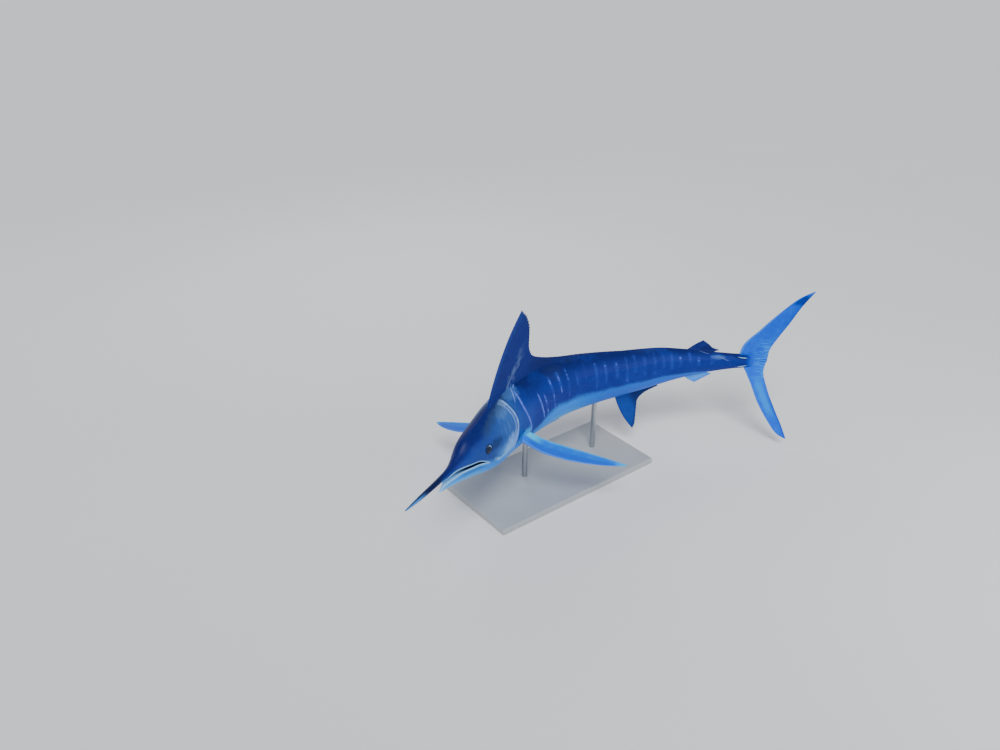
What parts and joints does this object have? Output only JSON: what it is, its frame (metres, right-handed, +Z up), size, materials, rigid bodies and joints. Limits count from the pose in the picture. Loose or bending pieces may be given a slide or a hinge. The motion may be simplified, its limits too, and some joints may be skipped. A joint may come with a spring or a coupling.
{
  "type": "striped marlin display model",
  "caption": "Life-size striped marlin as a still display model, bent in a swimming turn, held on a flat base by short rods.",
  "frame": {"origin": "centre of the stand base's underside", "axes": "+Z up, the fish's bill towards -X and its tail towards +X, its left side facing -Y"},
  "size_m": [2.1914, 1.0507, 0.9],
  "materials": {
    "skin": "smooth wet-looking skin, dark blue back, silvery belly, pale blue bars",
    "jaw": "silvery blue skin",
    "bill": "dark rough horn-like skin, paler below",
    "eye": "glossy dark blue",
    "dark_fin": "satin dark navy membrane over rays",
    "pale_fin": "satin sky-blue membrane over rays",
    "stand_paint": "satin grey paint",
    "stand_steel": "brushed"
  },
  "bodies": {
    "root": {"bill": "bill", "head": "skin", "lower_jaw": "jaw", "trunk_front": "skin", "trunk_rear": "skin", "tail_stock": "skin", "eye_left": "eye", "eye_right": "eye", "dorsal_fin_first": "dark_fin", "dorsal_fin_second": "dark_fin", "anal_fin_first": "dark_fin", "anal_fin_second": "pale_fin", "caudal_fin_upper": "pale_fin", "caudal_fin_lower": "pale_fin", "pectoral_fin_left": "pale_fin", "pectoral_fin_right": "pale_fin", "pelvic_fin_left": "pale_fin", "pelvic_fin_right": "pale_fin", "stand_base": "stand_paint", "stand_rod_front": "stand_steel", "stand_rod_rear": "stand_steel"}
  },
  "joints": []
}
